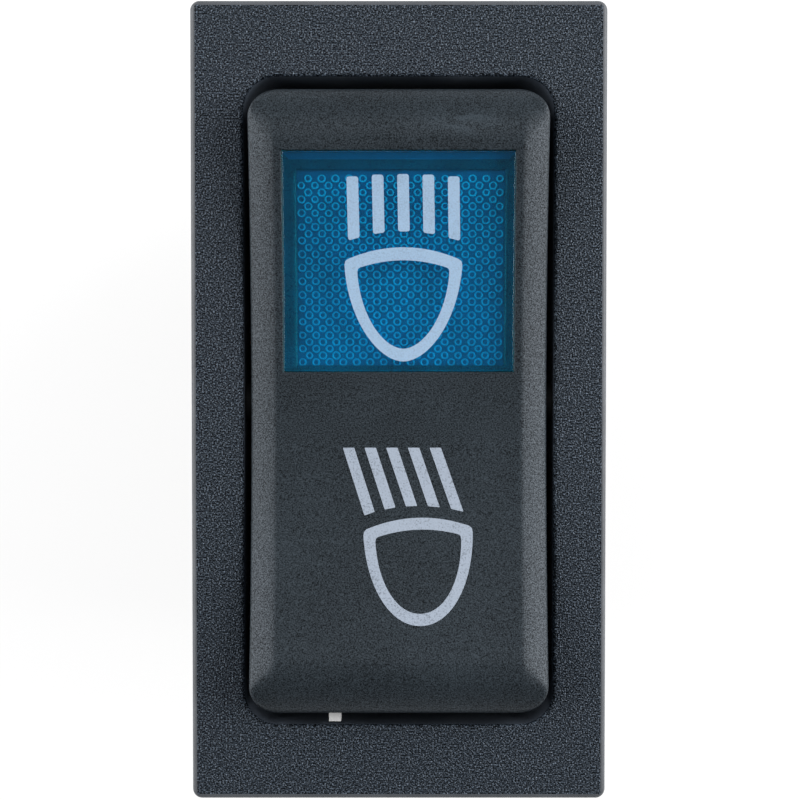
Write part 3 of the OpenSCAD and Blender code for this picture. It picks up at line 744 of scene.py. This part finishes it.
class SWITCH_OT_housing(Operator):
    """Bezel with its rounded edges, and the box with latches, ribs and windows"""
    bl_idname = "switch.housing"
    bl_label = "Housing"

    def execute(self, context):
        size = context.scene.switch_housing
        rgb = context.scene.switch_colours
        finishes = [
            # The bezel's grain carries painted highlights on its crests and painted shade in its hollows
            grain_with_painted_glints("grained_housing_painted_glints", rgb.housing, pebble=0.1 * MM, depth=0.12 * MM),
            smooth_plastic("well_painted_light", rgb.well, roughness=0.5, contrast=0.15),
            smooth_plastic("edge_painted_highlight", rgb.edge, roughness=0.4, contrast=0.15),
            grained_plastic("matte_box", rgb.box, 0.14 * MM, 0.02 * MM, roughness=0.48, contrast=0.35),
        ]
        piece = self.shell(size, finishes)
        carve(piece, self.latches_and_ribs(size), "UNION")
        carve(piece, self.openings(size), "DIFFERENCE")
        for face in piece.data.polygons:
            if face.center.z < 0 and face.material_index != WELL_PAINTED_LIGHT_FINISH:
                face.material_index = BOX_FINISH
        place_piece(piece, "housing", "housing_plastic", "bezel_housing")
        return {"FINISHED"}

    def shell(self, size, finishes):
        """A closed shell: up the bezel's sides, over its face, down the well and up the box's sides."""
        bm = bmesh.new()
        side_steps = 12
        stations = [i / side_steps for i in range(1 - side_steps, side_steps)]
        top, edge, back, lip = size.bezel_h, size.bezel_edge, size.back_edge, size.lip
        rim, least = 0.15 * MM, 0.05 * MM

        def rings_round(width, long, corner):
            def ring(out, z):
                outline = rounded_outline(width / 2 + out, long / 2 + out, max(corner + out, least), stations)
                return make_ring(bm, outline, z)
            return ring

        bezel = rings_round(size.bezel_w, size.bezel_l, size.bezel_corner)
        opening = rings_round(size.opening_w, size.opening_l, size.opening_corner)
        box = rings_round(size.box_w, size.box_l, size.box_corner)
        rings = [bezel(-back - rim, 0)]
        rings += [bezel(out, back - z) for out, z in reversed(arc_points((0, 0), (-back, back), steps=3))]
        rings += [bezel(0, back + rim), bezel(0, top - edge - rim)]
        rings += [bezel(out, z) for out, z in arc_points((0, top - edge), (-edge, top), steps=6)]
        rings += [bezel(-edge - rim, top), opening(lip + rim, top)]
        rings += [opening(out, z) for out, z in reversed(arc_points((0, top - lip), (lip, top), steps=5))]
        rings += [opening(0, z) for z in (top - lip - rim, 0, size.box_z + rim)]
        rings += [opening(rim, size.box_z), box(-rim, size.box_z)]
        rings += [box(0, z) for z in (size.box_z + rim, -rim, 0)] + [box(rim, 0)]
        loft(bm, rings, closed=True)
        for face in bm.faces:
            x, y, z = face.calc_center_median()
            outer = min(size.bezel_w / 2 - abs(x), size.bezel_l / 2 - abs(y))
            # The well's faces take the lightened black of painted light
            if abs(x) <= size.opening_w / 2 and abs(y) <= size.opening_l / 2 and z < top - lip:
                face.material_index = WELL_PAINTED_LIGHT_FINISH
            # The rounded outer edge takes the lighter black of painted highlight
            elif outer < edge and z > top - edge:
                face.material_index = EDGE_PAINTED_HIGHLIGHT_FINISH
        return as_object(bm, "housing_moulding", finishes)

    def latches_and_ribs(self, size):
        """The panel latches at the ends and the fitting ribs at the sides, sunk a little into the box."""
        bm = bmesh.new()
        sink = 0.3 * MM
        x, y = size.box_w / 2, size.box_l / 2
        latch = ((y - sink, size.latch_ramp), (y, size.latch_ramp), (y + size.latch_out, size.latch_crest),
                 (y, size.latch_tip), (y - sink, size.latch_tip))
        for end in SIDES:
            add_prism(bm, [(end * py, pz) for py, pz in latch], -size.latch_w / 2, size.latch_w / 2)
            y0 = end * size.rib_y - size.rib_w / 2
            for side in SIDES:
                add_box(bm, (side * (x - sink), y0, size.rib_low),
                        (side * (x + size.rib_out), y0 + size.rib_w, size.rib_high))
        return as_object(bm, "latches_and_ribs")

    def openings(self, size):
        """The pivot sockets, the slits round the latches and the base's snap windows."""
        bm = bmesh.new()
        over = 1 * MM
        add_turned_x(bm, [(-size.socket_x, size.socket_r), (size.socket_x, size.socket_r)], 0, size.pivot_z)
        half, slit = size.latch_w / 2, size.latch_slit
        slit_top = size.latch_tip + slit
        for end in SIDES:
            near, far = end * (size.opening_l / 2 - over), end * (size.box_l / 2 + over)
            for x in (-half - slit, half):
                add_box(bm, (x, near, size.latch_root), (x + slit, far, slit_top))
            add_box(bm, (-half - slit / 2, near, size.latch_tip), (half + slit / 2, far, slit_top))
            y0 = end * size.snap_y - size.snap_w / 2
            x = size.box_w / 2 + over
            add_box(bm, (-x, y0, size.snap_low), (x, y0 + size.snap_w, size.snap_high))
        return as_object(bm, "housing_openings")


class SWITCH_OT_rocker(Operator):
    """Rocker cap with its dished face, side bevels, rolled ends, window opening and pivot pins"""
    bl_idname = "switch.rocker"
    bl_label = "Rocker cap"

    def execute(self, context):
        scene = context.scene
        size, rgb = scene.switch_rocker, scene.switch_colours
        # A patch of faint lighter streaks on the upper right of the upper roll
        streak_middle, streak_reach = Vector((3.9, 17.1, 6.0)) * MM, Vector((2.6, 1.1, 2.0)) * MM
        finishes = [
            grained_plastic("matte_rocker", rgb.rocker, 0.085 * MM, 0.014 * MM, roughness=0.42, contrast=0.9,
                            gloss=0.42, streaked=(streak_middle, streak_reach)),
            # The pins' near-black is painted shade
            smooth_plastic("pin_painted_shade", rgb.pin, roughness=0.8),
        ]
        piece = self.cap(size, scene.switch_window, scene.switch_housing, finishes)
        carve(piece, self.catch_openings(size), "DIFFERENCE")
        place_piece(piece, "rocker", "rocker_plastic", "rocker_cap")
        return {"FINISHED"}

    def bevel_crown(self, size, shares):
        """Points (out from the edge, height over the face) of the side bevel's crown, from edge to face."""
        edge, face = Vector((0, -size.bevel_h)), Vector((-size.bevel_w, 0))
        chord = edge - face
        inward = Vector((chord.y, -chord.x)).normalized()
        middle = (edge + face) / 2 + inward * math.sqrt(size.bevel_r ** 2 - (chord.length / 2) ** 2)
        a0 = math.atan2(edge.y - middle.y, edge.x - middle.x)
        a1 = math.atan2(face.y - middle.y, face.x - middle.x)
        turns = [a0 + (a1 - a0) * t for t in shares]
        return [middle + size.bevel_r * Vector((math.cos(a), math.sin(a))) for a in turns]

    def softened(self, crown):
        """A crown with a stretch of the wall before it and of the face after it, and its creases rounded."""
        wall_steps, face_steps, passes = 10, 2, 14
        first, last = (crown[1] - crown[0]).length, (crown[-1] - crown[-2]).length
        wall = [crown[0] - Vector((0, first * i)) for i in range(wall_steps, 0, -1)]
        face = [crown[-1] - Vector((last * i, 0)) for i in range(1, face_steps + 1)]
        line = wall + crown + face
        for _ in range(passes):
            inner = [(a + 2 * b + c) / 4 for a, b, c in zip(line, line[1:], line[2:])]
            line = [line[0], *inner, line[-1]]
        return line[::2]

    def cap_ring(self, bm, size, stations, side, end, level_z=None):
        """A ring round the cap. Side and end hold the way out from the edge and the height over the dished
        face, and a corner blends the two. With level_z the ring is level."""
        shrink, least = 1.1, 0.04 * MM
        r = max(size.corner + shrink * side[0], least)
        x, y = size.width / 2 + side[0] - r, size.long / 2 + end[0] - r
        corner = []
        for a in quarter_turn(steps=12):
            c, s = math.cos(a), math.sin(a)
            corner.append((x + r * c, y + r * s, side[1] * c * c + end[1] * s * s))
        spare = [i / 4 for i in (1, 2, 3)]
        straight = [stations[0] + (-y - stations[0]) * t for t in reversed(spare)] + stations
        straight += [stations[-1] + (y - stations[-1]) * t for t in spare]
        right = [(px, -py, rise) for px, py, rise in reversed(corner)]
        right += [(x + r, py, side[1]) for py in straight] + corner
        whole = right + [(-px, py, rise) for px, py, rise in reversed(right)]
        return [bm.verts.new((px, py, dish_height(size, py) + rise if level_z is None else level_z))
                for px, py, rise in whole]

    def cap(self, size, window, housing, finishes):
        """The cap's skirt, crown, hollow, faces and window walls, and the pins at its sides."""
        bm = bmesh.new()
        edge = size.edge
        steps, crown_steps, nearest = 52, 44, 0.25 * MM
        hole, rear_hole = (window.low - edge, window.high + edge), (window.low, window.high)
        stations = [hole[1] * (2 * i / steps - 1) for i in range(steps)]
        stations = [y for y in stations if abs(y - hole[0]) > nearest]
        outer, inner = sorted([*stations, *hole]), sorted([*stations, *rear_hole])
        shares = [i / crown_steps for i in range(crown_steps + 1)]
        roll = [Vector((-size.roll_w * t, -size.roll_h * (1 - t) ** 2)) for t in shares]
        crown = zip(self.softened(self.bevel_crown(size, shares)), self.softened(roll))

        def level_ring(ys, out, z):
            return self.cap_ring(bm, size, ys, (out, 0), (out, 0), z)

        rings = [level_ring(outer, -edge, size.skirt_z), level_ring(outer, 0, size.skirt_z + edge)]
        rings += [self.cap_ring(bm, size, outer, side, end) for side, end in crown]
        loft(bm, rings)
        under = (-size.wall, -size.face_t)
        hollow = [level_ring(inner, edge - size.wall, size.skirt_z),
                  level_ring(inner, -size.wall, size.skirt_z + edge),
                  self.cap_ring(bm, size, inner, under, under)]
        loft(bm, [rings[0]] + hollow)
        front = self.holed_face(bm, rings[-1], window.half_w + edge, hole)
        rear = self.holed_face(bm, hollow[-1], window.half_w, rear_hole)
        walls = [front]
        for share in (0.3, 0.62, 1.0):
            turn = share * math.pi / 2
            walls.append(self.inset_loop(bm, front, edge * math.sin(turn), edge * (1 - math.cos(turn)), hole))
        loft(bm, walls + [rear])
        sink, play, chamfer = 0.3 * MM, 0.2 * MM, 0.2 * MM
        tip = housing.socket_x - play
        pin = ((size.width / 2 - sink, size.pin_r), (tip - chamfer, size.pin_r), (tip, size.pin_r - chamfer))
        for side in SIDES:
            add_turned_x(bm, [(side * x, r) for x, r in pin], 0, housing.pivot_z, PIN_PAINTED_SHADE_FINISH)
        return as_object(bm, "rocker_moulding", finishes)

    def holed_face(self, bm, ring, half_hole, hole):
        """Closes a ring across X around a hole. Returns the hole's loop, up its right side, down its left."""
        rows = []
        for right, left in rows_across(ring):
            y, z = right.co.y, right.co.z
            rows.append((right, bm.verts.new((half_hole, y, z)), bm.verts.new((-half_hole, y, z)), left))
        for low, high in zip(rows, rows[1:]):
            inside = low[0].co.y > hole[0] - SLACK and high[0].co.y < hole[1] + SLACK
            for k in (0, 2) if inside else (0, 1, 2):
                bm.faces.new((low[k], high[k], high[k + 1], low[k + 1]))
        beside = [row for row in rows if hole[0] - SLACK < row[0].co.y < hole[1] + SLACK]
        return [row[1] for row in beside] + [row[2] for row in reversed(beside)]

    def inset_loop(self, bm, loop, shift, drop, hole):
        """A copy of a hole's loop, moved in and down."""
        made = []
        for v in loop:
            at_end = min(abs(v.co.y - h) for h in hole) < SLACK
            y = v.co.y + (math.copysign(shift, sum(hole) / 2 - v.co.y) if at_end else 0)
            made.append(bm.verts.new((v.co.x - math.copysign(shift, v.co.x), y, v.co.z - drop)))
        return made

    def catch_openings(self, size):
        """Holes in the cap's ends for the noses of the cradle's catches."""
        bm = bmesh.new()
        inside, outside = size.long / 2 - 2 * MM, size.long / 2 + 1 * MM
        half = size.catch_w / 2
        for end in SIDES:
            x = end * size.catch_x
            add_box(bm, (x - half, end * inside, size.catch_low), (x + half, end * outside, size.catch_high))
        return as_object(bm, "catch_openings")


class SWITCH_OT_window(Operator):
    """Clear blue plate and the dotted pan behind it"""
    bl_idname = "switch.window"
    bl_label = "Blue window"

    def execute(self, context):
        scene = context.scene
        size, rocker, rgb = scene.switch_window, scene.switch_rocker, scene.switch_colours
        plate = self.plate(size, rocker, clear_plastic("blue_clear", rgb.plate, roughness=0.05, gloss=0.12))
        plate.visible_shadow = False
        place_piece(plate, "rocker", "window_plastic", "window_lens")
        finishes = [
            smooth_plastic("blue_pan", rgb.pan, roughness=0.35, contrast=0.12),
            smooth_plastic("blue_dots", rgb.ring, roughness=0.14, contrast=0.12, ior=3.2),
            smooth_plastic("blue_rim", rgb.rim, roughness=0.3, contrast=0.2),
        ]
        place_piece(self.dotted_pan(size, rocker, finishes), "rocker", "window_plastic")
        return {"FINISHED"}

    def plan(self, size):
        """The window's lower, upper, left and right edges."""
        half = size.half_w - size.play
        return size.low + size.play, size.high - size.play, -half, half

    def rings_round(self, bm, rocker, low, high, left, right):
        """A maker of rectangles with the dish's curve, out from these edges and at a depth under the face."""
        steps = 24

        def ring(out, depth):
            first, last = low - out, high + out
            ys = [first + (last - first) * i / steps for i in range(steps + 1)]
            outline = [(right + out, y) for y in ys] + [(left - out, y) for y in reversed(ys)]
            return make_ring(bm, outline, lambda y: dish_height(rocker, y) - depth)
        return ring

    def plate(self, size, rocker, finish):
        """The clear front plate with its rounded edge."""
        bm = bmesh.new()
        ring = self.rings_round(bm, rocker, *self.plan(size))
        rings = [ring(0, size.plate_t)]
        rings += [ring(out, -z) for out, z in arc_points((0, -size.edge), (-size.edge, 0), steps=4)]
        loft(bm, rings)
        for end in (rings[-1], rings[0]):
            close_across(bm, end)
        return as_object(bm, "window_plate", [finish])

    def dotted_pan(self, size, rocker, finishes):
        """The block behind the plate: a flange, a smooth rim and a pan with dots on its floor."""
        bm = bmesh.new()
        gap, slope = 0.02 * MM, 0.1 * MM
        low, high, left, right = self.plan(size)
        inner = (low + size.rim_low, high - size.rim_high, left + size.rim_left, right - size.rim_right)
        ring = self.rings_round(bm, rocker, low, high, left, right)
        pan_ring = self.rings_round(bm, rocker, *inner)
        front, flange = size.plate_t + gap, size.flange_depth
        floor_depth = front + size.pan
        rings = [ring(size.flange, size.depth), ring(size.flange, flange), ring(0, flange), ring(0, front),
                 ring(-size.glint, front), pan_ring(slope, front), pan_ring(0, front + slope),
                 pan_ring(0, floor_depth)]
        loft(bm, rings, finish=RIM_FINISH)
        # Painted highlight: faces along the upper edge take the lighter pan blue
        for face in bm.faces:
            if face.calc_center_median().y > high - size.glint:
                face.material_index = PAN_FINISH
        close_across(bm, rings[0], RIM_FINISH)
        close_across(bm, rings[-1], PAN_FINISH)
        self.dots(bm, size, rocker, inner, floor_depth)
        return as_object(bm, "window_pan", finishes, crease=50)

    def dots(self, bm, size, rocker, inner, depth):
        """Ring-shaped dots in staggered rows, a little uneven in size."""
        draw = random.Random(11)
        row_step = size.pitch / 2
        reach = size.ring_r + size.ring_t
        rows = int((inner[1] - inner[0] - 2 * reach) / row_step)
        for row in range(rows + 1):
            y = inner[0] + reach + row_step * row
            x = inner[2] + reach + (row % 2) * row_step
            while x < inner[3] - reach:
                share = draw.uniform(0.9, 1.08)
                self.dot(bm, Vector((x, y, dish_height(rocker, y) - depth)), size.ring_r * share, size.ring_t)
                x += size.pitch

    def dot(self, bm, place, radius, thick, steps=14, sides=6):
        """A ring that lies flat at its place."""
        ways = [Vector((math.cos(a), math.sin(a), 0)) for a in full_turn(steps)]
        rings = [tube_ring(bm, place + way * radius, way, thick, sides) for way in ways]
        loft(bm, rings, closed=True, finish=DOT_FINISH)


class SWITCH_OT_signs(Operator):
    """Main-beam sign on the window and dipped-beam sign on the rocker's lower half"""
    bl_idname = "switch.signs"
    bl_label = "Printed signs"

    def execute(self, context):
        scene = context.scene
        rgb = scene.switch_colours
        signs = (
            ("main_beam_sign", scene.switch_main_sign, "ink_on_window", rgb.window_ink, 0.2),
            ("dipped_beam_sign", scene.switch_dipped_sign, "ink_on_rocker", rgb.ink, 0.5),
        )
        for name, size, ink, tint, wear in signs:
            bm = bmesh.new()
            for place in range(-2, 3):
                self.bar(bm, size, scene.switch_rocker, place)
            self.lamp(bm, size, scene.switch_rocker)
            piece = as_object(bm, name, [printed_ink(ink, tint, wear)])
            place_piece(piece, "rocker", "white_plastic")
        return {"FINISHED"}

    def print_sections(self, bm, size, rocker, left, right):
        """Sections of a strip of ink between two rows of plan points, laid on the dished face."""
        sink = 0.02 * MM
        sections = []
        for a, b in zip(left, right):
            corners = ((*a, size.ink), (*b, size.ink), (*b, -sink), (*a, -sink))
            sections.append([bm.verts.new((x, y, dish_height(rocker, y) + rise)) for x, y, rise in corners])
        return sections

    def bar(self, bm, size, rocker, place):
        """A bar that leans with its upper end to the left and stops short of the lamp's crown."""
        steps, flatter = 24, 0.8
        lean = math.tan(size.slant + size.fan * place)
        curve = flatter * size.crown / size.half_w ** 2
        top = size.top - size.arch * (place / 2) ** 2
        middle = size.middle + size.pitch * place
        foot = middle + (size.top - size.low) * lean - size.x
        edges = []
        for side in SIDES:
            out = side * size.bar_w / 2
            low = size.low - curve * (foot ** 2 + size.follow * 2 * foot * out)
            edge = []
            for t in (0.5 - 0.5 * math.cos(math.pi * i / steps) for i in range(steps + 1)):
                y = low + (top - low) * t
                to_end = min(y - low, top - y, size.corner)
                inset = size.corner - math.sqrt(size.corner ** 2 - (size.corner - to_end) ** 2)
                edge.append((middle + out + (size.top - y) * lean - side * inset, y))
            edges.append(edge)
        loft_solid(bm, self.print_sections(bm, size, rocker, *edges))

    def lamp(self, bm, size, rocker):
        """A lamp outline: a shallow crown on top and a long round bowl under it."""
        inner_w = size.half_w - size.stroke
        inner_crown = size.crown * (inner_w / size.half_w) ** 2
        inner_top = size.crown - size.stroke - inner_crown
        outer = self.bowl(size.half_w, size.deep, size.crown, 0, size.power)
        inner = self.bowl(inner_w, inner_top + size.deep - size.stroke, inner_crown, inner_top, size.power)
        c, s = math.cos(size.turn), math.sin(size.turn)
        lines = [[(size.x + c * x - s * y, size.y + s * x + c * y) for x, y in line]
                 for line in (outer, inner)]
        loft(bm, self.print_sections(bm, size, rocker, *lines), closed=True)

    def bowl(self, half_w, deep, crown, top, power):
        """A closed line, anticlockwise from its upper left corner; top is the height of its upper corners."""
        count = 64
        line = []
        for a in (math.pi * i / count for i in range(count)):
            x = -half_w * math.copysign(abs(math.cos(a)) ** (2 / power), math.cos(a))
            line.append((x, top - deep * math.sin(a) ** (2 / power)))
        for i in range(count // 2):
            x = half_w * (1 - 4 * i / count)
            line.append((x, top + crown * (1 - (x / half_w) ** 2)))
        return [((a[0] + 2 * b[0] + c[0]) / 4, (a[1] + 2 * b[1] + c[1]) / 4)
                for a, b, c in zip(line[-1:] + line[:-1], line, line[1:] + line[:1])]


class SWITCH_OT_springs(Operator):
    """Coil springs that fill the boxes of the plungers' springs"""
    bl_idname = "switch.springs"
    bl_label = "Plunger springs"

    def execute(self, context):
        size = context.scene.switch_springs
        steel = context.scene.switch_colours.steel
        finish = rolled_metal("drawn_wire", steel, roughness=0.3, stretch=(1, 1, 1), tarnish=0.3)
        for side in ("left", "right"):
            low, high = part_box(f"spring_{side}")
            piece = self.coil(size, side, low, high, finish)
            place_piece(piece, "rocker", "spring_steel", f"spring_{side}")
            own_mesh(piece)
        return {"FINISHED"}

    def coil(self, size, side, low, high, finish, per_turn=36, sides=10):
        """A coil that fills a spring's box."""
        bm = bmesh.new()
        x = (low.x + high.x) / 2
        thick = size.wire / 2
        rise = (high.z - low.z - size.wire) / size.turns
        rings = []
        for i in range(size.turns * per_turn + 1):
            turn = i / per_turn
            a = 2 * math.pi * turn
            way = Vector((math.cos(a), math.sin(a), 0))
            place = Vector((x, 0, low.z + thick + rise * turn)) + way * size.coil_r
            rings.append(tube_ring(bm, place, way, thick, sides))
        loft_solid(bm, rings)
        return as_object(bm, f"coil_spring_{side}", [finish])


class SWITCH_OT_plastics(Operator):
    """Finishes of the cradle, plungers, terminal base and lamp"""
    bl_idname = "switch.plastics"
    bl_label = "Inner mouldings"

    def execute(self, context):
        rgb = context.scene.switch_colours
        dress("white_plastic", smooth_plastic("white_moulding", rgb.white, roughness=0.45, contrast=0.03))
        dress("base_plastic", grained_plastic("base_moulding", rgb.base, 0.2 * MM, 0.03 * MM,
                                              roughness=0.5, contrast=0.25))
        dress("socket_plastic", smooth_plastic("cream_moulding", rgb.cream, roughness=0.5))
        dress("lamp_glass", clear_plastic("lamp_glass", rgb.glass, roughness=0.04))
        return {"FINISHED"}


class SWITCH_OT_metals(Operator):
    """Finishes of the terminals and contacts"""
    bl_idname = "switch.metals"
    bl_label = "Terminals and contacts"

    def execute(self, context):
        rgb = context.scene.switch_colours
        metals = (
            ("terminal_brass", "rolled_brass", rgb.brass, 0.28, (1, 1, 0.06), 0.4),
            ("contact_copper", "rolled_copper", rgb.copper, 0.3, (1, 0.06, 1), 0.35),
            ("contact_silver", "turned_silver", rgb.silver, 0.25, (1, 1, 0.3), 0.3),
        )
        for slot, name, tint, roughness, stretch, tarnish in metals:
            dress(slot, rolled_metal(name, tint, roughness, stretch, tarnish))
        return {"FINISHED"}


class SWITCH_PT_sidebar(Panel):
    """Lists the steps that dress the switch"""
    bl_idname = "SWITCH_PT_sidebar"
    bl_label = "Rocker switch"
    bl_space_type = "VIEW_3D"
    bl_region_type = "UI"
    bl_category = "Switch"

    def draw(self, context):
        for step in STEPS:
            self.layout.operator(step.bl_idname, text=step.bl_label)


STEPS = (SWITCH_OT_stage, SWITCH_OT_housing, SWITCH_OT_rocker, SWITCH_OT_window, SWITCH_OT_signs,
         SWITCH_OT_springs, SWITCH_OT_plastics, SWITCH_OT_metals)
GROUPS = {
    "switch_housing": SwitchHousingSizes,
    "switch_rocker": SwitchRockerSizes,
    "switch_window": SwitchWindowSizes,
    "switch_main_sign": SwitchMainSign,
    "switch_dipped_sign": SwitchDippedSign,
    "switch_springs": SwitchSpringSizes,
    "switch_colours": SwitchColours,
    "switch_stage": SwitchStageSettings,
}


def register():
    for group in GROUPS.values():
        bpy.utils.register_class(group)
    for name, group in GROUPS.items():
        setattr(bpy.types.Scene, name, PointerProperty(type=group))
    for step in (*STEPS, SWITCH_PT_sidebar):
        bpy.utils.register_class(step)


def unregister():
    for step in (SWITCH_PT_sidebar, *reversed(STEPS)):
        bpy.utils.unregister_class(step)
    for name in GROUPS:
        delattr(bpy.types.Scene, name)
    for group in reversed(list(GROUPS.values())):
        bpy.utils.unregister_class(group)


def main():
    register()
    bpy.ops.switch.stage()
    bpy.ops.switch.housing()
    bpy.ops.switch.rocker()
    bpy.ops.switch.window()
    bpy.ops.switch.signs()
    bpy.ops.switch.springs()
    bpy.ops.switch.plastics()
    bpy.ops.switch.metals()


if __name__ == "__main__":
    main()
